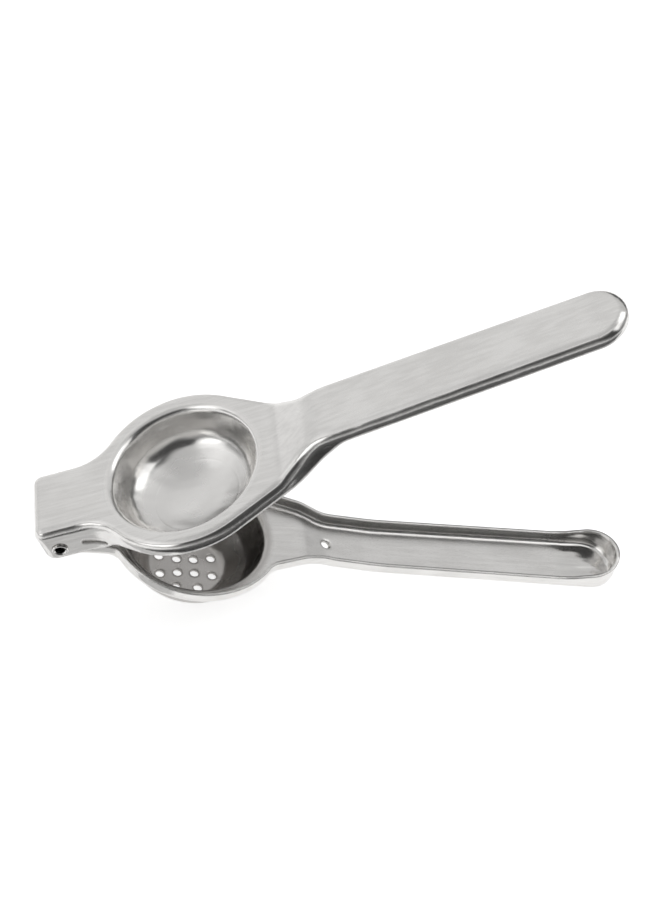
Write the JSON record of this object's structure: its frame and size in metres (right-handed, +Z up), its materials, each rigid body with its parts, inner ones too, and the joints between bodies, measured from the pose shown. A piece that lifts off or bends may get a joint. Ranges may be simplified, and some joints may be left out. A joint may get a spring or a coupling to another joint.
{
  "type": "hinged lemon squeezer",
  "caption": "Hand lemon squeezer of pressed steel: a perforated straining bowl and a pressing cup on channel-section lever arms, joined by a hollow hinge rivet.",
  "frame": {"origin": "centre of the hinge axis, midway between the ears", "axes": "+X from the hinge towards the handle tips, +Y along the hinge axis, +Z up as the tool stands on a table"},
  "size_m": [0.2293, 0.0708, 0.1487],
  "materials": {
    "arm_steel": "satin on the flat faces, polished on edges, cup and bowl",
    "rivet_steel": "polished"
  },
  "bodies": {
    "strainer": {"strainer_arm": "arm_steel", "hinge_rivet": "rivet_steel"},
    "press": {"press_arm": "arm_steel"}
  },
  "joints": [
    {"name": "arm_hinge", "type": "hinge", "parent": "strainer", "child": "press", "pos_m": [0, 0, 0], "axis": [0, -1, 0], "range_deg": [-31, 142]}
  ]
}
